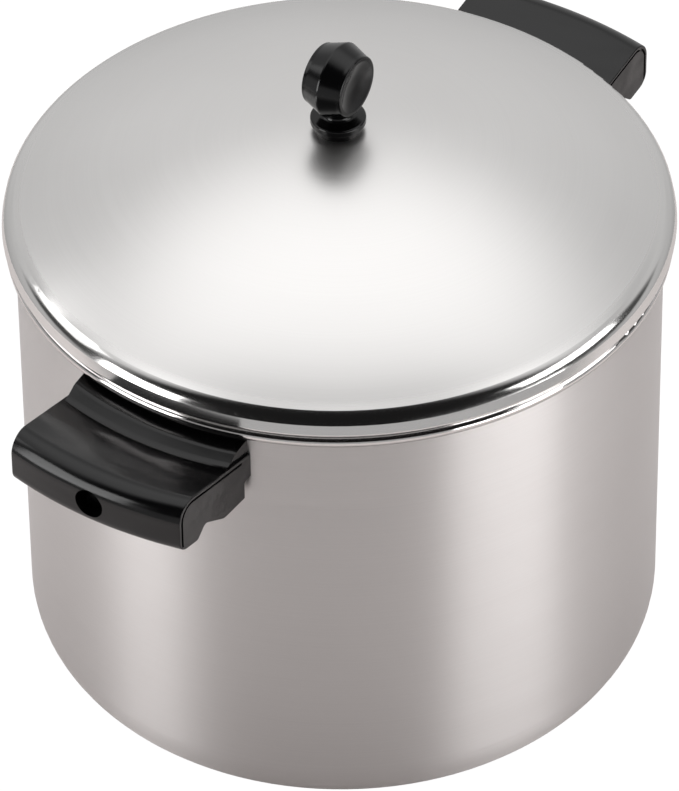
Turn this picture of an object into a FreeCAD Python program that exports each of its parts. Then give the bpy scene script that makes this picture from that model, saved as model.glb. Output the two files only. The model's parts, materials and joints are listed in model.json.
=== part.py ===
import FreeCAD, Part
import math
import os

# Covered stainless-steel stockpot: a deep pot with a capsule base and two screwed-on side
# handles, and a domed lid with a screwed-on knob.
#
# Frame: origin at the centre of the base's underside, +Z up, the side handles along X.
# Units are millimetres and degrees.

# Pot
POT_RADIUS = 134.3          # outside of the straight wall
POT_SHEET = 0.8             # stainless sheet of the body
RIM_TOP_Z = 212.2           # top of the rolled rim
RIM_BEAD_RADIUS = 2.5       # outside radius of the rolled rim's tube
RIM_CURL_GAP = 1.0          # between the curl's free edge and the wall
CORNER_RADIUS = 25.5        # outside of the bottom corner
CORNER_END_SLOPE = 39.4     # where the large corner radius gives way to the pressed one
PRESSED_RADIUS = 3.5        # outside of the tighter bend that the base press leaves
BODY_FLOOR_Z = 5.0          # underside of the body's flat floor

# Capsule base: an aluminium disc closed in by a stainless cap
CORE_RADIUS = 117.6
CORE_EDGE_RADIUS = 2.6      # rounder than the cap's bend, so that the disc drops in
CAP_SHEET = 0.8
CAP_BEND_RADIUS = 2.6

# Lid
LID_SHEET = 0.7
LID_TOP_Z = 261.3           # crown of the dome
DOME_RADIUS = 262.4
DOME_END_SLOPE = 30.8       # slope where the dome turns into the shoulder
SHOULDER_RADIUS = 10.3
SHOULDER_END_SLOPE = 66.0   # slope where the shoulder ends in the band's edge
BAND_FLARE = 11.6           # the band leans out by this much from the vertical
BAND_END_Z = 215.0          # corner of the rim's widest edge
LEDGE_OUTER_RADIUS = 136.8  # the ledge sits on the rolled rim from here inwards
SKIRT_RADIUS = 132.7        # outside of the skirt that drops into the pot's mouth
SKIRT_END_Z = 203.0

# Knob, as heights above the lid's crown
KNOB_HEAD_Z = 24.3          # centre of the round head
KNOB_HEAD_RADIUS = 16.1     # at the parting crease between its two faces
KNOB_FACE_RADIUS = 13.0
KNOB_HALF_THICKNESS = 9.3
KNOB_DISH_DEPTH = 1.7
KNOB_DISH_RADIUS = 34.0
KNOB_NECK_RADIUS = 5.85
KNOB_FLANGE_RADIUS = 11.5
KNOB_FLANGE_TOP = 6.0
KNOB_COLLAR_RADIUS = 9.8
KNOB_COLLAR_TOP = 2.9
INSERT_RADIUS = 3.6
INSERT_START = 0.6
INSERT_LENGTH = 12.0

# Screw up through the lid into the knob
LID_SCREW_RADIUS = 2.0
RUNNING_GAP = 0.05          # the lid and knob turn about their screw
LID_SCREW_HEAD_RADIUS = 3.8
LID_SCREW_HEAD_HEIGHT = 2.4
LID_SCREW_END = 13.6        # above the crown
WASHER_RADIUS = 6.5
WASHER_THICKNESS = 0.8
WASHER_TOP_DROP = 0.8       # below the crown, clear of the dome's inner face
LOCK_WASHER_THICKNESS = 1.0

# Handle grips, as distances out from the pot's wall
GRIP_TOP_ROOT_Z = 197.5
GRIP_TOP_RISE = 0.198       # rise of the top per unit of distance outwards
GRIP_REACH = 49.6
GRIP_NOSE_BOTTOM_Z = 182.8
GRIP_ROOT_BOTTOM_Z = 177.0
GRIP_HALF_WIDTH = 40.4      # at the wall
GRIP_SIDE_FLARE = 0.3       # each side opens outwards by this angle
GRIP_HALF_SWEEP = 20        # degrees about the pot's axis, more than the grip takes up
FINGER_BEND_OUT = 18.5      # where the underside turns up into the finger groove
RELIEF_DEPTH = 4.0          # the lower root stands off the wall by this much
RELIEF_TOP_Z = 185.5
PAD_HALF_WIDTH = 39.2       # raised root that the top sweeps up to, at the wall
PAD_DEPTH = 7.6             # where its sweep ends in a shallower slope
PAD_FRONT_Z = 203.6
PAD_TOP_Z = 205.1           # at the wall
PAD_FOOT_OUT = 13.5         # where its sweep starts out of the grip's top
EDGE_ROUNDING = 0.5
LIP_WIDTH = 1.3             # lip around each end face
END_GROOVE_WIDTH = 1.2      # groove between that lip and the raised middle
END_GROOVE_DEPTH = 0.9
END_GROOVE_LOW_Z = 184.6
END_GROOVE_ROOT = 6.0       # the groove stops this far from the wall
ROOT_OVERLAP = 2.0          # drawn this far into the pot, then cut to the wall's curve

# Handle screws and their welded brackets
SCREW_AXIS_Z = 193.4
SCREW_RADIUS = 2.4
SCREW_HEAD_RADIUS = 4.6
SCREW_HEAD_HEIGHT = 3.2
COUNTERBORE_RADIUS = 6.5
SEAT_X = 167.5              # bottom of the counterbore
SCREW_END_X = 136.4
SHANK_HOLE_RADIUS = 2.75
THREAD_HOLE_RADIUS = 2.5
BRACKET_SHEET = 1.5
BRACKET_HALF_ANGLE = 10.5
BRACKET_BOTTOM_Z = 187.0
BRACKET_TOP_Z = 199.5
BOSS_RADIUS = 3.8
BOSS_FACE_X = 143.3
POCKET_GAP = 0.25

CUT_LOW_Z = 150.0           # cutting tools for the grip run from here
CUT_HEIGHT = 80.0
CUT_REACH = 300.0           # and this far outwards, past everything

UP = FreeCAD.Vector(0, 0, 1)
ALONG_X = FreeCAD.Vector(1, 0, 0)
ALONG_Y = FreeCAD.Vector(0, 1, 0)
ORIGIN = FreeCAD.Vector(0, 0, 0)


# Outlines ------------------------------------------------------------------------------

def point(radius, z):
    """A point of an outline drawn in the XZ plane."""
    return FreeCAD.Vector(radius, 0, z)


def heading(start, end):
    """Unit vector from one outline point (radius, z, ...) to the next."""
    length = math.hypot(end[0] - start[0], end[1] - start[1])
    return (end[0] - start[0]) / length, (end[1] - start[1]) / length


def corner_bend(before, corner, after):
    """Tangent points and middle of the arc that rounds one corner of an outline."""
    radius = corner[2]
    way_in = heading(corner, before)
    way_out = heading(corner, after)
    half = math.acos(way_in[0] * way_out[0] + way_in[1] * way_out[1]) / 2
    reach = radius / math.tan(half)
    middle = heading((0, 0), (way_in[0] + way_out[0], way_in[1] + way_out[1]))
    depth = radius / math.sin(half) - radius
    start = point(corner[0] + way_in[0] * reach, corner[1] + way_in[1] * reach)
    mid = point(corner[0] + middle[0] * depth, corner[1] + middle[1] * depth)
    end = point(corner[0] + way_out[0] * reach, corner[1] + way_out[1] * reach)
    return start, mid, end


def outline_face(corners):
    """Closed face from corners (radius, z, bend radius), the bends as true arcs."""
    edges = []
    ends = []
    for index, corner in enumerate(corners):
        before = corners[index - 1]
        after = corners[(index + 1) % len(corners)]
        if corner[2] > 0:
            start, mid, end = corner_bend(before, corner, after)
            ends.append((start, end, Part.Arc(start, mid, end).toShape()))
        else:
            place = point(corner[0], corner[1])
            ends.append((place, place, None))
    for index, (start, end, bend) in enumerate(ends):
        if bend is not None:
            edges.append(bend)
        following = ends[(index + 1) % len(ends)][0]
        if end.distanceToPoint(following) > 1e-6:
            edges.append(Part.LineSegment(end, following).toShape())
    return Part.Face(Part.Wire(edges))


def sheet_outline(path, thickness):
    """Outline of a bent sheet: a path along one face, and the other face to its right."""
    other = []
    for index, (radius, z, bend) in enumerate(path):
        way_in = heading(path[max(index - 1, 0)], path[max(index, 1)])
        last = len(path) - 1
        way_out = heading(path[min(index, last - 1)], path[min(index + 1, last)])
        turn = way_in[0] * way_out[1] - way_in[1] * way_out[0]
        share = thickness / (1 + way_in[0] * way_out[0] + way_in[1] * way_out[1])
        side_r = (way_in[1] + way_out[1]) * share
        side_z = -(way_in[0] + way_out[0]) * share
        if turn > 0:
            far_bend = bend + thickness
        else:
            far_bend = max(bend - thickness, 0)
        inside_path = 0 < index < last
        other.append((radius + side_r, z + side_z, far_bend if inside_path else 0))
    return path + other[::-1]


def turned(corners, start=0, sweep=360):
    """Solid of revolution about Z, from an outline in the XZ plane."""
    face = outline_face(corners)
    if start:
        face.rotate(ORIGIN, UP, start)
    return face.revolve(ORIGIN, UP, sweep)


def rod(radius, low, high, axis=ALONG_X, across=ORIGIN):
    """Cylinder along one axis from low to high, moved sideways by across."""
    return Part.makeCylinder(radius, high - low, across + axis * low, axis)


def block(low, high):
    """Box between two corners."""
    size = [top - bottom for bottom, top in zip(low, high)]
    return Part.makeBox(size[0], size[1], size[2], FreeCAD.Vector(*low))


def split_ring(inner, outer, low, high, axis, across):
    """Spring lock washer: a ring with one narrow slit."""
    ring = rod(outer, low, high, axis, across).cut(rod(inner, low, high, axis, across))
    slit_width = 0.8
    slit = Part.makeBox(high - low, slit_width, outer)
    slit.translate(FreeCAD.Vector(0, -slit_width / 2, 0))
    slit.rotate(ORIGIN, ALONG_Y, -math.degrees(math.atan2(axis.z, axis.x)))
    slit.translate(across + axis * low)
    return ring.cut(slit)


def cross_recess(depth, reach):
    """Cross-shaped driver recess, sunk in -X from the YZ plane."""
    blade = 1.1
    upright = block((-depth, -blade / 2, -reach), (0, blade / 2, reach))
    level = block((-depth, -reach, -blade / 2), (0, reach, blade / 2))
    return upright.fuse(level)


def pan_screw(radius, head_radius, head_height, length):
    """Pan-head screw along -X with the head's underside in the YZ plane."""
    brow = head_height * 0.55
    tip = 0.6
    outline = [(0, -length, 0), (radius - tip, -length, 0), (radius, -length + tip, 0), (radius, 0, 0),
               (head_radius, 0, 0), (head_radius, head_height, brow), (0, head_height, 0)]
    screw = turned(outline)
    screw.rotate(ORIGIN, ALONG_Y, 90)
    recess = cross_recess(head_height * 0.6, head_radius * 0.6)
    recess.translate(FreeCAD.Vector(head_height, 0, 0))
    return screw.cut(recess)


# Pot -----------------------------------------------------------------------------------

def pot_body():
    """Drawn pot: floor, bottom corner, straight wall and outward-rolled rim, one sheet."""
    inner_radius = POT_RADIUS - POT_SHEET
    slope = math.radians(CORNER_END_SLOPE)
    corner = CORNER_RADIUS - POT_SHEET
    corner_center_r = POT_RADIUS - CORNER_RADIUS
    join_r = corner_center_r + corner * math.sin(slope)
    join_z = CORNER_RADIUS - corner * math.cos(slope)
    floor_z = BODY_FLOOR_Z + POT_SHEET
    floor_edge_r = join_r - (join_z - floor_z) / math.tan(slope)
    wall_foot_z = join_z + (inner_radius - join_r) * math.tan(slope)
    bead_outer = inner_radius + 2 * RIM_BEAD_RADIUS
    bead_bottom = RIM_TOP_Z - 2 * RIM_BEAD_RADIUS
    inside_face = [
        (0, floor_z, 0),
        (floor_edge_r, floor_z, PRESSED_RADIUS - POT_SHEET),
        (inner_radius, wall_foot_z, corner),
        (inner_radius, RIM_TOP_Z, RIM_BEAD_RADIUS),
        (bead_outer, RIM_TOP_Z, RIM_BEAD_RADIUS),
        (bead_outer, bead_bottom, RIM_BEAD_RADIUS),
        (POT_RADIUS + RIM_CURL_GAP, bead_bottom, 0),
    ]
    return turned(sheet_outline(inside_face, POT_SHEET))


def base_core_disc():
    """Aluminium heat-spreading disc under the pot's floor."""
    return turned([(0, CAP_SHEET, 0), (CORE_RADIUS, CAP_SHEET, CORE_EDGE_RADIUS),
                   (CORE_RADIUS, BODY_FLOOR_Z, 0), (0, BODY_FLOOR_Z, 0)])


def base_cap():
    """Stainless cap that closes the disc in and stands on the hob."""
    outer = CORE_RADIUS + CAP_SHEET
    underside = [(0, 0, 0), (outer, 0, CAP_BEND_RADIUS), (outer, BODY_FLOOR_Z, 0)]
    return turned(sheet_outline(underside[::-1], CAP_SHEET))


# Lid -----------------------------------------------------------------------------------

def lid():
    """Domed lid: dome, shoulder, flared band, ledge on the rim and skirt, one sheet."""
    dome_slope = math.radians(DOME_END_SLOPE)
    shoulder_slope = math.radians(SHOULDER_END_SLOPE)
    dome_corner_r = DOME_RADIUS * math.tan(dome_slope / 2)
    dome_end_r = DOME_RADIUS * math.sin(dome_slope)
    dome_end_z = LID_TOP_Z - DOME_RADIUS * (1 - math.cos(dome_slope))
    bend_reach = SHOULDER_RADIUS * math.tan((shoulder_slope - dome_slope) / 2)
    shoulder_r = dome_end_r + bend_reach * math.cos(dome_slope)
    shoulder_z = dome_end_z - bend_reach * math.sin(dome_slope)
    edge_r = shoulder_r + bend_reach * math.cos(shoulder_slope)
    edge_z = shoulder_z - bend_reach * math.sin(shoulder_slope)
    band_end_r = edge_r + (edge_z - BAND_END_Z) * math.tan(math.radians(BAND_FLARE))
    edge_bend = 0.9
    ledge_bend = 1.0
    outside_face = [
        (LID_SCREW_RADIUS + RUNNING_GAP, LID_TOP_Z, 0),
        (dome_corner_r, LID_TOP_Z, DOME_RADIUS),
        (shoulder_r, shoulder_z, SHOULDER_RADIUS),
        (edge_r, edge_z, 0),
        (band_end_r, BAND_END_Z, edge_bend),
        (LEDGE_OUTER_RADIUS, RIM_TOP_Z, 0),
        (SKIRT_RADIUS, RIM_TOP_Z, ledge_bend),
        (SKIRT_RADIUS, SKIRT_END_Z, 0),
    ]
    return turned(sheet_outline(outside_face, LID_SHEET))


def knob_stem():
    """Turned foot of the knob: collar on the lid, rounded flange and neck."""
    neck_top = KNOB_HEAD_Z - 8
    outline = [
        (0, -1, 0),
        (KNOB_COLLAR_RADIUS, -1, 0),
        (KNOB_COLLAR_RADIUS, KNOB_COLLAR_TOP, 0),
        (KNOB_FLANGE_RADIUS, KNOB_COLLAR_TOP, 0.5),
        (KNOB_FLANGE_RADIUS, KNOB_FLANGE_TOP, 0.8),
        (KNOB_NECK_RADIUS, KNOB_FLANGE_TOP + 0.7, 2.0),
        (KNOB_NECK_RADIUS, neck_top, 0),
        (0, neck_top, 0),
    ]
    stem = turned(outline)
    stem.translate(UP * LID_TOP_Z)
    dome = Part.makeSphere(DOME_RADIUS, UP * (LID_TOP_Z - DOME_RADIUS))
    return stem.cut(dome)


def knob_head():
    """Round head with its axis along Y: two shallow cones meeting in a crease, with dished faces."""
    rim = KNOB_FACE_RADIUS
    half = KNOB_HALF_THICKNESS
    dish_edge = rim - 1.7
    one_side = [
        (0, 0, 0),
        (KNOB_HEAD_RADIUS, 0, 0),
        (KNOB_HEAD_RADIUS, 0.3, 0),
        (rim + 0.4, half - 1.8, 3.0),
        (rim, half, 0.8),
        (dish_edge, half, 0.5),
        (dish_edge / 2, half - KNOB_DISH_DEPTH, KNOB_DISH_RADIUS),
        (0, half - KNOB_DISH_DEPTH, 0),
    ]
    other_side = [(r, -y, bend) for r, y, bend in one_side]
    head = turned(one_side).fuse(turned(other_side))
    head.rotate(ORIGIN, ALONG_X, -90)
    head.translate(UP * (LID_TOP_Z + KNOB_HEAD_Z))
    return head


def knob():
    """Moulded knob with the hole that its brass insert is moulded into."""
    hole = turned([(0, -2, 0), (INSERT_RADIUS, -2, 0), (INSERT_RADIUS, INSERT_START + INSERT_LENGTH, 0),
                   (LID_SCREW_RADIUS + 0.4, INSERT_START + INSERT_LENGTH, 0),
                   (LID_SCREW_RADIUS + 0.4, LID_SCREW_END + 1, 0), (0, LID_SCREW_END + 1, 0)])
    hole.translate(UP * LID_TOP_Z)
    return knob_stem().fuse(knob_head()).cut(hole).removeSplitter()


def knob_insert():
    """Threaded brass insert in the knob, with two retaining grooves."""
    bore = LID_SCREW_RADIUS + RUNNING_GAP
    waist = INSERT_RADIUS - 0.5
    low = INSERT_START
    high = INSERT_START + INSERT_LENGTH
    third = INSERT_LENGTH / 3
    groove = 0.9
    insert = turned([
        (bore, low, 0), (INSERT_RADIUS, low, 0),
        (INSERT_RADIUS, low + third - groove, 0), (waist, low + third - groove, 0),
        (waist, low + third + groove, 0), (INSERT_RADIUS, low + third + groove, 0),
        (INSERT_RADIUS, high - third - groove, 0), (waist, high - third - groove, 0),
        (waist, high - third + groove, 0), (INSERT_RADIUS, high - third + groove, 0),
        (INSERT_RADIUS, high, 0), (bore, high, 0),
    ])
    insert.translate(UP * LID_TOP_Z)
    return insert


def knob_washer():
    """Flat washer under the lid."""
    top = LID_TOP_Z - WASHER_TOP_DROP
    low = top - WASHER_THICKNESS
    hole = rod(LID_SCREW_RADIUS + 2 * RUNNING_GAP, low, top, UP)
    return rod(WASHER_RADIUS, low, top, UP).cut(hole)


def knob_lock_washer():
    """Spring lock washer between the flat washer and the screw's head."""
    top = LID_TOP_Z - WASHER_TOP_DROP - WASHER_THICKNESS
    return split_ring(LID_SCREW_RADIUS + 2 * RUNNING_GAP, LID_SCREW_HEAD_RADIUS, top - LOCK_WASHER_THICKNESS,
                      top, UP, ORIGIN)


def knob_screw():
    """Screw up through the lid into the knob's insert."""
    head_z = LID_TOP_Z - WASHER_TOP_DROP - WASHER_THICKNESS - LOCK_WASHER_THICKNESS - RUNNING_GAP
    length = LID_TOP_Z + LID_SCREW_END - head_z
    screw = pan_screw(LID_SCREW_RADIUS, LID_SCREW_HEAD_RADIUS, LID_SCREW_HEAD_HEIGHT, length)
    screw.rotate(ORIGIN, ALONG_Y, 90)
    screw.translate(UP * head_z)
    return screw


# Side handles, drawn on the +X side ----------------------------------------------------

def grip_outline(inset=0):
    """Side view of the grip; inset draws the top and the nose that much further in."""
    root = -ROOT_OVERLAP
    nose = GRIP_REACH - inset
    top_z = GRIP_TOP_ROOT_Z - inset
    corners = [
        (root, top_z + GRIP_TOP_RISE * root, 0),
        (nose, top_z + GRIP_TOP_RISE * nose, 8.5 - inset),
        (nose, GRIP_NOSE_BOTTOM_Z, 6.5 - inset),
        (37.0, 180.3, 2.0),
        (31.6, 185.2, 2.6),
        (FINGER_BEND_OUT, GRIP_ROOT_BOTTOM_Z + 0.4, 6.0),
        (RELIEF_DEPTH, GRIP_ROOT_BOTTOM_Z, 0.6),
        (RELIEF_DEPTH, RELIEF_TOP_Z, 1.0),
        (root, RELIEF_TOP_Z, 0),
    ]
    return [(POT_RADIUS + out, z, bend) for out, z, bend in corners]


def grip_sector(corners):
    """Sector of an outline turned about the pot's axis, wider than the grip."""
    return turned(corners, start=-GRIP_HALF_SWEEP, sweep=2 * GRIP_HALF_SWEEP)


def pot_column(standoff=0):
    """Cylinder that cuts a grip to the wall's curve, or to a curve that far outside it."""
    return Part.makeCylinder(POT_RADIUS + standoff, CUT_HEIGHT, UP * CUT_LOW_Z)


def between_sides(half_width, flare):
    """Slab between the two side planes of the grip."""
    wall_x = math.sqrt(POT_RADIUS ** 2 - GRIP_HALF_WIDTH ** 2)
    opening = math.tan(math.radians(flare))
    near = half_width - wall_x * opening
    far = half_width + (CUT_REACH - wall_x) * opening
    corners = [(0, -near), (CUT_REACH, -far), (CUT_REACH, far), (0, near), (0, -near)]
    plan = Part.makePolygon([FreeCAD.Vector(x, y, CUT_LOW_Z) for x, y in corners])
    return Part.Face(plan).extrude(UP * CUT_HEIGHT)


def root_pad():
    """Raised root of the grip, which the top sweeps up to, just below the pot's rim."""
    hidden_z = SCREW_AXIS_Z
    buried = 0.15
    tail = PAD_FOOT_OUT + 6.5
    corners = [
        (-ROOT_OVERLAP, hidden_z, 0),
        (tail, hidden_z, 0),
        (tail, GRIP_TOP_ROOT_Z + GRIP_TOP_RISE * tail - buried, 0),
        (PAD_FOOT_OUT, GRIP_TOP_ROOT_Z + GRIP_TOP_RISE * PAD_FOOT_OUT - buried, 6.0),
        (PAD_DEPTH, PAD_FRONT_Z, 4.0),
        (-ROOT_OVERLAP, PAD_TOP_Z, 0),
    ]
    sector = grip_sector([(POT_RADIUS + out, z, bend) for out, z, bend in corners])
    return sector.common(between_sides(PAD_HALF_WIDTH, 0))


def is_side_edge(edge):
    """True for the long edges where a side plane meets the top and the nose."""
    middle = edge.BoundBox.Center
    on_side = abs(middle.y) > GRIP_HALF_WIDTH - 2 and edge.BoundBox.YLength < 2
    return on_side and middle.z > GRIP_NOSE_BOTTOM_Z and middle.x > POT_RADIUS


def end_grooves(sides):
    """The two grooves that follow the top and nose just inside each end face."""
    band = grip_sector(grip_outline(LIP_WIDTH)).cut(grip_sector(grip_outline(LIP_WIDTH + END_GROOVE_WIDTH)))
    inner = between_sides(GRIP_HALF_WIDTH - END_GROOVE_DEPTH, GRIP_SIDE_FLARE)
    above = block((0, -CUT_REACH, END_GROOVE_LOW_Z), (CUT_REACH, CUT_REACH, CUT_LOW_Z + CUT_HEIGHT))
    return band.common(sides).cut(inner).common(above).cut(pot_column(END_GROOVE_ROOT))


def handle_grip():
    """Moulded grip: shaped body, root pad, end-face grooves and the holes for its screw."""
    sides = between_sides(GRIP_HALF_WIDTH, GRIP_SIDE_FLARE)
    body = grip_sector(grip_outline()).common(sides)
    body = body.makeFillet(EDGE_ROUNDING, [edge for edge in body.Edges if is_side_edge(edge)])
    body = body.cut(end_grooves(sides)).fuse(root_pad())
    body = body.cut(pot_column())
    axis_place = UP * SCREW_AXIS_Z
    counterbore = rod(COUNTERBORE_RADIUS, SEAT_X, POT_RADIUS + GRIP_REACH + 5, across=axis_place)
    shank_hole = rod(SHANK_HOLE_RADIUS, POT_RADIUS - 10, SEAT_X, across=axis_place)
    boss_pocket = rod(BOSS_RADIUS + POCKET_GAP, POT_RADIUS - 10, BOSS_FACE_X, across=axis_place)
    return body.cut(counterbore).cut(shank_hole).cut(boss_pocket).cut(bracket_plate(POCKET_GAP))


def bracket_plate(gap=0):
    """Plate that follows the wall; a gap makes it the pocket that the plate sits in."""
    bend = 3.0
    half_angle = BRACKET_HALF_ANGLE + math.degrees(gap / POT_RADIUS)
    inner = POT_RADIUS - gap
    outer = POT_RADIUS + BRACKET_SHEET + gap
    low = BRACKET_BOTTOM_Z - gap
    high = BRACKET_TOP_Z + gap
    plate = turned([(inner, low, 0), (outer, low, 0), (outer, high, 0), (inner, high, 0)],
                   start=-half_angle, sweep=2 * half_angle)
    corners = [edge for edge in plate.Edges
               if edge.BoundBox.ZLength < 1e-3 and edge.BoundBox.YLength < bend]
    return plate.makeFillet(bend, corners)


def handle_bracket():
    """Steel plate spot-welded to the wall behind the grip."""
    hole = rod(SCREW_RADIUS + 0.4, POT_RADIUS - 5, POT_RADIUS + 10, across=UP * SCREW_AXIS_Z)
    return bracket_plate().cut(hole)


def handle_boss():
    """Threaded round boss welded to the bracket."""
    place = UP * SCREW_AXIS_Z
    boss = rod(BOSS_RADIUS, POT_RADIUS, BOSS_FACE_X, across=place)
    bore = rod(THREAD_HOLE_RADIUS, POT_RADIUS, BOSS_FACE_X, across=place)
    return boss.cut(pot_column(BRACKET_SHEET)).cut(bore)


def handle_screw():
    """Screw from the bottom of the grip's counterbore into the boss."""
    head_x = SEAT_X + LOCK_WASHER_THICKNESS
    screw = pan_screw(SCREW_RADIUS, SCREW_HEAD_RADIUS, SCREW_HEAD_HEIGHT, head_x - SCREW_END_X)
    screw.translate(FreeCAD.Vector(head_x, 0, SCREW_AXIS_Z))
    return screw


def handle_lock_washer():
    """Spring lock washer under the handle screw's head."""
    return split_ring(SCREW_RADIUS + 0.3, SCREW_HEAD_RADIUS, SEAT_X, SEAT_X + LOCK_WASHER_THICKNESS,
                      ALONG_X, UP * SCREW_AXIS_Z)


# Export --------------------------------------------------------------------------------

def main():
    os.makedirs("parts", exist_ok=True)
    parts = {
        "pot_body": pot_body(),
        "base_core_disc": base_core_disc(),
        "base_cap": base_cap(),
        "lid": lid(),
        "knob": knob(),
        "knob_insert": knob_insert(),
        "knob_washer": knob_washer(),
        "knob_lock_washer": knob_lock_washer(),
        "knob_screw": knob_screw(),
    }
    handle_pieces = {
        "handle_bracket": handle_bracket(),
        "handle_boss": handle_boss(),
        "handle_grip": handle_grip(),
        "handle_lock_washer": handle_lock_washer(),
        "handle_screw": handle_screw(),
    }
    for side, turn in (("right", 0), ("left", 180)):
        for name, shape in handle_pieces.items():
            piece = shape.copy()
            piece.rotate(ORIGIN, UP, turn)
            parts[f"{side}_{name}"] = piece
    for name, shape in parts.items():
        if not shape.isValid() or len(shape.Solids) != 1:
            raise RuntimeError(f"{name} is not one valid solid")
        shape.Solids[0].exportStep(f"parts/{name}.step")
        box = shape.BoundBox
        size = f"{box.XLength:.1f} x {box.YLength:.1f} x {box.ZLength:.1f}"
        print(f"{name}: {size}, {shape.Volume / 1000:.1f} cm3")


main()
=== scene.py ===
import json
import math

import bpy
from mathutils import Matrix, Vector


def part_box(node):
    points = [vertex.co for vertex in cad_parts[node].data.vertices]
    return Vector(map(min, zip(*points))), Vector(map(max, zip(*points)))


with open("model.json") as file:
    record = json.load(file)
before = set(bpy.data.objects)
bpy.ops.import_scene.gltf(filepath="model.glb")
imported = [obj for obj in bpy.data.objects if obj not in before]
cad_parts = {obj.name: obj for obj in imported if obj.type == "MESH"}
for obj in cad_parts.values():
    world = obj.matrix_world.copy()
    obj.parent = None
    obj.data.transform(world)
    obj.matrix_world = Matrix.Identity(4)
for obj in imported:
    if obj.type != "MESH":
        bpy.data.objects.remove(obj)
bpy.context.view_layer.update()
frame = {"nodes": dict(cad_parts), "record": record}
record = frame["record"]

# Camera: its angles round the object, its small aims off the middle, and a long lens
AZIMUTH = math.radians(-56.6)
ELEVATION = math.radians(39.42)
ROLL = math.radians(-0.694)
PITCH = math.radians(-1.518)
YAW = math.radians(-0.017)
DISTANCE = 2.8397
LENS_MM = 312.96
SENSOR_MM = 36.0

# Places on the object, in metres, as all lengths are here
_, pot_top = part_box("pot_body")
_, lid_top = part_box("lid")
RIM_BEAD_HEIGHT = 0.0056
RIM_BEAD_LOW_Z = pot_top.z - RIM_BEAD_HEIGHT
RIM_POLISH_FADE = 0.001                 # how far below the bead its polish starts
ROLL_UNDER_HEIGHT = 0.0030              # the part of the bead painted dark as shade
ROLL_UNDER_FADE = 0.0008
LID_POLISH_START_RADIUS = lid_top.x - 0.0095
LID_POLISH_FULL_RADIUS = lid_top.x - 0.0045
LID_RING_Z = pot_top.z + 0.0032         # the lid's widest ring, which the camera turns about

# Directions as the camera has them
TO_CAMERA = Vector((math.sin(AZIMUTH), -math.cos(AZIMUTH), 0))
TO_RIGHT = Vector((math.cos(AZIMUTH), math.sin(AZIMUTH), 0))
UP = Vector((0, 0, 1))

# Noise textures give values that lie mostly between these two
NOISE_LOW = 0.3
NOISE_HIGH = 0.7

# Floor disc
FLOOR_RADIUS = 0.62
FLOOR_STEPS = 96
FLOOR_Z = -0.0004                       # a hair under the pot, so that their faces never coincide
# Painted shadow round the pot: the floor's colour is darkest inside the first radius and pale past the
# second
FLOOR_PAINTED_SHADOW_RADIUS = 0.17
FLOOR_PALE_RADIUS = 0.42
FLOOR_GLOW = 1.06
FLOOR_GLOW_SHARE = 0.95                 # how much of the floor the camera sees as glow

# The room's brightness in reflections. The first two go by height, from 0 straight down to 1 straight up,
# for the half of the room behind the pot and the half on the camera's side. FACING blends them by how far
# a direction points to the camera, from 0 straight away to 1 straight towards it.
FAR_LEVELS = ((0.0, 0.35), (0.33, 0.52), (0.50, 0.66), (0.70, 0.76), (0.80, 0.68), (0.94, 1.38))
NEAR_LEVELS = ((0.0, 0.40), (0.36, 0.49), (0.575, 0.46), (0.61, 0.01), (0.965, 0.01), (1.0, 0.9))
FACING = ((0.49, 0.0), (0.66, 1.0))

# Dimming by how far a direction points sideways, from 0 to 1, and how much of that counts at each height
SIDE_LEVELS = ((0.32, 1.0), (0.65, 0.84), (0.82, 0.84), (0.93, 0.08))
SIDE_REACH = ((0.50, 0.84), (0.60, 1.0))

# Soft lights: name, place to the camera's right, towards it and up, width and height, and watts
SOFTBOXES = (
    ("left_box", (-0.97, 0.52, 0.40), (0.50, 0.60), 4.0),
    ("right_box", (0.84, 0.71, 0.16), (0.70, 0.36), 3.2),
    ("left_edge", (-0.95, -0.15, 0.75), (0.50, 0.40), 0.8),
    ("right_edge", (0.98, 0.30, 0.66), (0.70, 0.34), 2.2),
)
LIGHTS_AIM = Vector((0, 0, 0.2))


# Node helpers --------------------------------------------------------------------------

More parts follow.
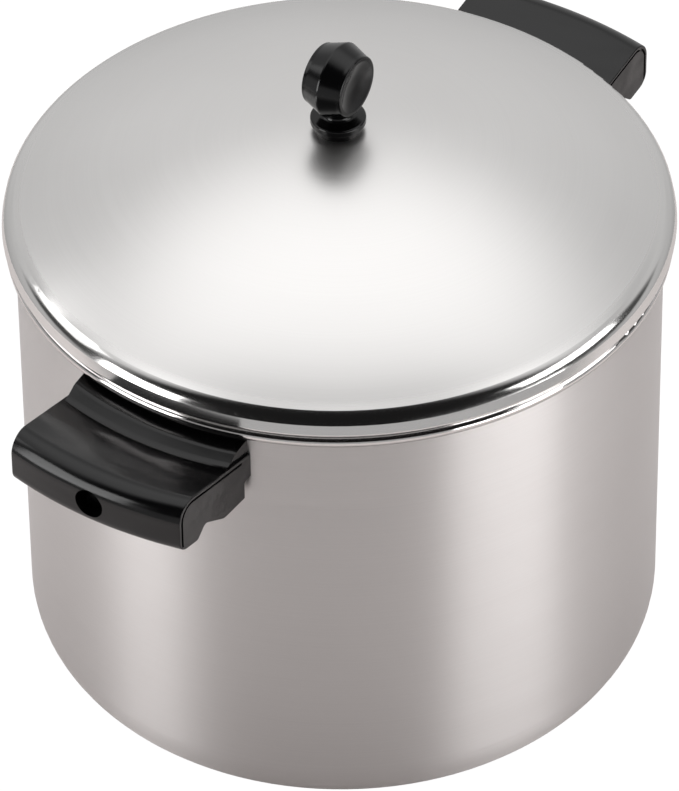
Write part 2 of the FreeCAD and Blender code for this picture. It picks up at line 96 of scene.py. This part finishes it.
class Nodes:
    """A node tree, with short calls for the nodes that repeat."""

    def __init__(self, tree):
        self.tree = tree

    def add(self, kind):
        return self.tree.nodes.new(kind)

    def join(self, source, target):
        self.tree.links.new(source, target)

    def feed(self, target, value):
        """Link a node's output to a socket, or set the socket to a plain value."""
        if isinstance(value, bpy.types.NodeSocket):
            self.join(value, target)
        else:
            target.default_value = value

    def calculate(self, operation, *values):
        node = self.add("ShaderNodeMath")
        node.operation = operation
        for socket, value in zip(node.inputs, values):
            self.feed(socket, value)
        return node.outputs[0]

    def plus(self, first, second):
        return self.calculate("ADD", first, second)

    def times(self, first, second):
        return self.calculate("MULTIPLY", first, second)

    def split(self, vector):
        node = self.add("ShaderNodeSeparateXYZ")
        self.join(vector, node.inputs[0])
        return node.outputs

    def combine(self, x, y, z):
        node = self.add("ShaderNodeCombineXYZ")
        for socket, value in zip(node.inputs, (x, y, z)):
            self.feed(socket, value)
        return node.outputs[0]

    def ramp(self, value, stops):
        """Grey levels that follow a value smoothly through (position, level) stops."""
        node = self.add("ShaderNodeValToRGB")
        node.color_ramp.interpolation = "EASE"
        elements = node.color_ramp.elements
        while len(elements) < len(stops):
            elements.new(0.5)
        for element, (position, level) in zip(elements, stops):
            element.position = position
            element.color = (level, level, level, 1)
        self.join(value, node.inputs[0])
        return node.outputs[0]

    def blend(self, factor, first, second):
        """Two colours mixed, each a node's output or three numbers."""
        node = self.add("ShaderNodeMix")
        node.data_type = "RGBA"
        self.join(factor, node.inputs[0])
        for socket, colour in ((node.inputs[6], first), (node.inputs[7], second)):
            self.feed(socket, (*colour, 1) if isinstance(colour, tuple) else colour)
        return node.outputs[2]

    def camera_ray(self):
        """1 where the camera looks straight at a surface, 0 in reflections and for light."""
        return self.add("ShaderNodeLightPath").outputs["Is Camera Ray"]

    def mix_shaders(self, factor, first, second):
        node = self.add("ShaderNodeMixShader")
        for socket, source in zip(node.inputs, (factor, first, second)):
            self.join(source, socket)
        return node.outputs[0]


class Shader(Nodes):
    """A material's node tree, with calls for noise, colour, roughness and bump."""

    def __init__(self, name):
        self.material = bpy.data.materials.new(name)
        self.material.use_nodes = True
        super().__init__(self.material.node_tree)
        self.surface = self.tree.nodes["Principled BSDF"]
        self.place = self.add("ShaderNodeTexCoord").outputs["Object"]
        self.x, self.y, self.z = self.split(self.place)

    def set(self, **values):
        for name, value in values.items():
            self.surface.inputs[name.replace("_", " ")].default_value = value

    def from_axis(self):
        """Distance from the pot's axis."""
        return self.calculate("SQRT", self.plus(self.times(self.x, self.x), self.times(self.y, self.y)))

    def noise(self, vector, scale=1.0, detail=3.0):
        node = self.add("ShaderNodeTexNoise")
        node.inputs["Scale"].default_value = scale
        node.inputs["Detail"].default_value = detail
        self.join(vector, node.inputs["Vector"])
        return node.outputs["Fac"]

    def drawn_noise(self, x_scale, y_scale, z_scale, detail):
        """Noise with a scale of its own along each direction."""
        return self.noise(self.combine(self.times(self.x, x_scale), self.times(self.y, y_scale),
                                       self.times(self.z, z_scale)), detail=detail)

    def turned_lines(self, crossing, per_metre, round_scale, detail=2):
        """Noise as fine lines round the axis; crossing is the height or radius that crosses them."""
        return self.noise(self.combine(self.times(self.x, round_scale), self.times(self.y, round_scale),
                                       self.times(crossing, per_metre)), detail=detail)

    def remap(self, value, low, high, to_low, to_high, smooth=False):
        node = self.add("ShaderNodeMapRange")
        node.interpolation_type = "SMOOTHSTEP" if smooth else "LINEAR"
        for name, number in zip(("From Min", "From Max", "To Min", "To Max"), (low, high, to_low, to_high)):
            node.inputs[name].default_value = number
        self.join(value, node.inputs["Value"])
        return node.outputs[0]

    def spread(self, noise, low, high):
        return self.remap(noise, NOISE_LOW, NOISE_HIGH, low, high)

    def choose(self, where, inside, outside):
        """Inside's value where the mask is 1, and outside's where it is 0."""
        return self.plus(self.times(outside, self.calculate("SUBTRACT", 1.0, where)),
                         self.times(where, inside))

    def colour(self, value):
        self.join(value, self.surface.inputs["Base Color"])

    def tint(self, factor, dark, light):
        self.colour(self.blend(factor, dark, light))

    def rough(self, value):
        self.join(value, self.surface.inputs["Roughness"])

    def bump(self, height, distance, strength):
        node = self.add("ShaderNodeBump")
        node.inputs["Strength"].default_value = strength
        node.inputs["Distance"].default_value = distance
        self.join(height, node.inputs["Height"])
        self.join(node.outputs[0], self.surface.inputs["Normal"])

    def grain_round_axis(self, amount, turn):
        """Highlights drawn out across the lines of a finish turned about the axis."""
        tangent = self.add("ShaderNodeTangent")
        tangent.direction_type = "RADIAL"
        tangent.axis = "Z"
        self.join(tangent.outputs[0], self.surface.inputs["Tangent"])
        self.set(Anisotropic=amount, Anisotropic_Rotation=turn)


# Materials -----------------------------------------------------------------------------

def satin_steel():
    """Pot body: satin wall with fine lines round it, and a polished rim with painted shade where it rolls
    under.
    """
    s = Shader("satin_steel")
    s.set(Metallic=1.0)
    lines = s.turned_lines(s.z, per_metre=2600, round_scale=6)
    cloud = s.noise(s.place, scale=9, detail=2)
    steel = s.blend(s.plus(s.times(lines, 0.5), s.times(cloud, 0.5)),
                    (0.673, 0.648, 0.641), (0.79, 0.766, 0.757))
    # Painted shade: a near-black band low on the rolled rim, standing in for the shaded recess where the
    # rim rolls under
    above_roll = s.remap(s.z, RIM_BEAD_LOW_Z, RIM_BEAD_LOW_Z + ROLL_UNDER_HEIGHT, 0, 1, smooth=True)
    below_roll = s.remap(s.z, RIM_BEAD_LOW_Z - ROLL_UNDER_FADE, RIM_BEAD_LOW_Z, 1, 0)
    painted_shade = (0.07, 0.065, 0.06)
    s.colour(s.blend(s.calculate("MAXIMUM", above_roll, below_roll), painted_shade, steel))
    rim = s.remap(s.z, RIM_BEAD_LOW_Z - RIM_POLISH_FADE, RIM_BEAD_LOW_Z, 0, 1)
    satin = s.plus(s.spread(lines, 0.38, 0.44), s.times(cloud, 0.04))
    s.rough(s.choose(rim, inside=0.12, outside=satin))
    s.grain_round_axis(amount=0.85, turn=0.25)
    s.bump(lines, distance=0.00002, strength=0.35)
    return s.material


def polished_steel():
    """Lid: satin dome with faint spun rings, mirror-polished shoulder and band."""
    s = Shader("polished_steel")
    s.set(Metallic=1.0)
    radius = s.from_axis()
    rings = s.turned_lines(radius, per_metre=2200, round_scale=5)
    cloud = s.noise(s.place, scale=14, detail=3)
    s.tint(s.plus(s.times(rings, 0.4), s.times(cloud, 0.6)),
           dark=(0.71, 0.695, 0.685), light=(0.80, 0.79, 0.78))
    edge = s.remap(radius, LID_POLISH_START_RADIUS, LID_POLISH_FULL_RADIUS, 0, 1, smooth=True)
    dome = s.plus(s.spread(rings, 0.27, 0.31), s.times(cloud, 0.05))
    s.rough(s.choose(edge, inside=0.13, outside=dome))
    s.bump(rings, distance=0.00001, strength=0.25)
    return s.material


def base_steel():
    """Base cap: turned underside with circular lines."""
    s = Shader("base_steel")
    s.set(Metallic=1.0)
    rings = s.turned_lines(s.from_axis(), per_metre=1500, round_scale=4, detail=3)
    wear = s.noise(s.place, scale=45, detail=4)
    s.tint(wear, dark=(0.50, 0.49, 0.48), light=(0.64, 0.63, 0.62))
    s.rough(s.plus(s.spread(rings, 0.22, 0.40), s.times(wear, 0.08)))
    s.bump(rings, distance=0.00004, strength=0.5)
    return s.material


def aluminium_core():
    """Core disc: aluminium, with the straight lines of rolling."""
    s = Shader("aluminium_core")
    s.set(Metallic=1.0)
    rolled = s.drawn_noise(20, 900, 0, detail=3)
    s.tint(rolled, dark=(0.68, 0.68, 0.69), light=(0.80, 0.80, 0.81))
    s.rough(s.spread(rolled, 0.32, 0.46))
    s.bump(rolled, distance=0.00003, strength=0.4)
    return s.material


def black_phenolic():
    """Grips and knob: compression-moulded black phenolic, glossy with a slightly wavy surface."""
    s = Shader("black_phenolic")
    s.set(IOR=1.5, Specular_IOR_Level=0.40)
    flow = s.drawn_noise(70, 22, 70, detail=1)
    fine = s.noise(s.place, scale=2600, detail=3)
    patch = s.noise(s.place, scale=60, detail=3)
    s.tint(patch, dark=(0.0012, 0.0012, 0.0015), light=(0.0030, 0.0028, 0.0031))
    s.rough(s.plus(s.spread(patch, 0.12, 0.18), s.times(fine, 0.04)))
    s.bump(s.plus(flow, s.times(fine, 0.004)), distance=0.0011, strength=0.8)
    return s.material


def brass_insert():
    """Brass insert, turned."""
    s = Shader("brass_insert")
    s.set(Metallic=1.0)
    lines = s.turned_lines(s.z, per_metre=5000, round_scale=30)
    s.tint(lines, dark=(0.58, 0.41, 0.17), light=(0.76, 0.58, 0.29))
    s.rough(s.spread(lines, 0.20, 0.34))
    s.bump(lines, distance=0.00002, strength=0.5)
    return s.material


def zinc_steel():
    """Screws and washers: bright zinc plating with a fine spangle."""
    s = Shader("zinc_steel")
    s.set(Metallic=1.0)
    spangle = s.noise(s.place, scale=900, detail=4)
    s.tint(spangle, dark=(0.52, 0.54, 0.56), light=(0.70, 0.72, 0.73))
    s.rough(s.spread(spangle, 0.20, 0.38))
    s.bump(spangle, distance=0.00003, strength=0.4)
    return s.material


def bracket_steel():
    """Welded brackets and bosses: pressed stainless with a dull mill finish."""
    s = Shader("bracket_steel")
    s.set(Metallic=1.0)
    mill = s.noise(s.place, scale=320, detail=5)
    s.tint(mill, dark=(0.40, 0.39, 0.38), light=(0.56, 0.55, 0.54))
    s.rough(s.spread(mill, 0.34, 0.50))
    s.bump(mill, distance=0.00004, strength=0.4)
    return s.material


def dress_nodes():
    """Every CAD node gets the material that its slot in the record names."""
    makers = (satin_steel, polished_steel, base_steel, aluminium_core, black_phenolic, brass_insert,
              zinc_steel, bracket_steel)
    made = {maker.__name__: maker() for maker in makers}
    for part in record["subparts"]:
        node = frame["nodes"][part["node"]]
        material = made[part["material_slot"]]
        if not node.data.materials:
            node.data.materials.append(material)
        for slot in node.material_slots:
            slot.material = material


# Floor ---------------------------------------------------------------------------------

def floor_finish():
    """Nearly white to the camera, and a calmer grey in the metal, with a painted shadow that darkens it
    close to the pot.
    """
    s = Shader("pale_floor")
    s.set(Roughness=0.9, Specular_IOR_Level=0.0)
    mottle = s.noise(s.place, scale=6, detail=2)
    # Painted shadow: the floor's own colour darkens towards the pot, seen mostly in the metal's reflections
    out_of_painted_shadow = s.remap(s.from_axis(), FLOOR_PAINTED_SHADOW_RADIUS, FLOOR_PALE_RADIUS, 0, 1, smooth=True)
    s.tint(s.plus(out_of_painted_shadow, s.times(mottle, 0.15)), dark=(0.69, 0.65, 0.64), light=(0.93, 0.875, 0.86))
    glow = s.add("ShaderNodeEmission")
    glow.inputs["Strength"].default_value = FLOOR_GLOW
    shown = s.mix_shaders(s.times(s.camera_ray(), FLOOR_GLOW_SHARE), s.surface.outputs[0], glow.outputs[0])
    s.join(shown, s.tree.nodes["Material Output"].inputs["Surface"])
    return s.material


def pale_floor():
    """A pale disc under the pot."""
    turns = [2 * math.pi * step / FLOOR_STEPS for step in range(FLOOR_STEPS)]
    rim = [(FLOOR_RADIUS * math.cos(turn), FLOOR_RADIUS * math.sin(turn), FLOOR_Z) for turn in turns]
    mesh = bpy.data.meshes.new("floor")
    mesh.from_pydata(rim, [], [list(range(FLOOR_STEPS))])
    mesh.materials.append(floor_finish())
    floor = bpy.data.objects.new("floor", mesh)
    bpy.context.scene.collection.objects.link(floor)


# Room and lights -----------------------------------------------------------------------

def along(nodes, parts, direction):
    """How far the looked-up direction points along a level direction, from -1 to 1."""
    return nodes.plus(nodes.times(parts[0], direction.x), nodes.times(parts[1], direction.y))


def from_0_to_1(nodes, value):
    """A value that runs from -1 to 1, brought to 0 to 1."""
    return nodes.calculate("MULTIPLY_ADD", value, 0.5, 0.5)


def graded_room(nodes):
    """The room that reflections and light see, brighter and darker by direction."""
    parts = nodes.split(nodes.add("ShaderNodeTexCoord").outputs["Generated"])
    height = from_0_to_1(nodes, parts[2])
    facing = nodes.ramp(from_0_to_1(nodes, along(nodes, parts, TO_CAMERA)), FACING)
    levels = nodes.blend(facing, nodes.ramp(height, FAR_LEVELS), nodes.ramp(height, NEAR_LEVELS))
    sideways = nodes.calculate("ABSOLUTE", along(nodes, parts, TO_RIGHT))
    reach = nodes.times(sideways, nodes.ramp(height, SIDE_REACH))
    room = nodes.add("ShaderNodeBackground")
    nodes.join(levels, room.inputs["Color"])
    nodes.join(nodes.ramp(reach, SIDE_LEVELS), room.inputs["Strength"])
    return room.outputs[0]


def studio_room():
    """The room round the table: white to the camera, graded by direction to everything else."""
    world = bpy.data.worlds.new("studio")
    world.use_nodes = True
    bpy.context.scene.world = world
    world.node_tree.nodes.clear()
    nodes = Nodes(world.node_tree)
    white = nodes.add("ShaderNodeBackground")
    white.inputs["Color"].default_value = (1, 1, 1, 1)
    shown = nodes.mix_shaders(nodes.camera_ray(), graded_room(nodes), white.outputs[0])
    nodes.join(shown, nodes.add("ShaderNodeOutputWorld").inputs["Surface"])


def at(right, near, up):
    """A place given as metres to the camera's right, towards it, and up."""
    return TO_RIGHT * right + TO_CAMERA * near + UP * up


def softbox(name, place, width, height, power):
    """A rectangular soft light aimed at the pot, seen in reflections only."""
    light = bpy.data.lights.new(name, "AREA")
    light.shape = "RECTANGLE"
    light.size = width
    light.size_y = height
    light.energy = power
    box = bpy.data.objects.new(name, light)
    box.location = place
    box.rotation_mode = "QUATERNION"
    box.rotation_quaternion = (LIGHTS_AIM - place).to_track_quat("-Z", "Y")
    box.visible_camera = False
    bpy.context.scene.collection.objects.link(box)


def studio_lights():
    """Two low boxes for the wall's broad highlights, and two high ones for the edges of lid and rim."""
    for name, place, (width, height), power in SOFTBOXES:
        softbox(name, at(*place), width, height, power)


# Camera --------------------------------------------------------------------------------

def turned(first, second, angle):
    """Two directions at right angles, both turned by an angle from the first towards the second."""
    return (first * math.cos(angle) + second * math.sin(angle),
            second * math.cos(angle) - first * math.sin(angle))


def camera():
    """Long lens at the viewing angle, with its small aims and roll."""
    back = TO_CAMERA * math.cos(ELEVATION) + UP * math.sin(ELEVATION)
    forward, up = turned(-back, back.cross(TO_RIGHT), PITCH)
    forward, right = turned(forward, TO_RIGHT, YAW)
    right, up = turned(right, up, ROLL)
    data = bpy.data.cameras.new("camera")
    data.lens = LENS_MM
    data.sensor_width = SENSOR_MM
    view = bpy.data.objects.new("camera", data)
    axes = Matrix((right, up, -forward)).transposed()
    view.matrix_world = Matrix.Translation(Vector((0, 0, LID_RING_Z)) + back * DISTANCE) @ axes.to_4x4()
    bpy.context.scene.collection.objects.link(view)
    bpy.context.scene.camera = view


def colours():
    """Plain display colours, so that white stays white."""
    bpy.context.scene.view_settings.view_transform = "Standard"
    bpy.context.scene.view_settings.look = "None"


camera()
colours()
dress_nodes()
pale_floor()
studio_room()
studio_lights()
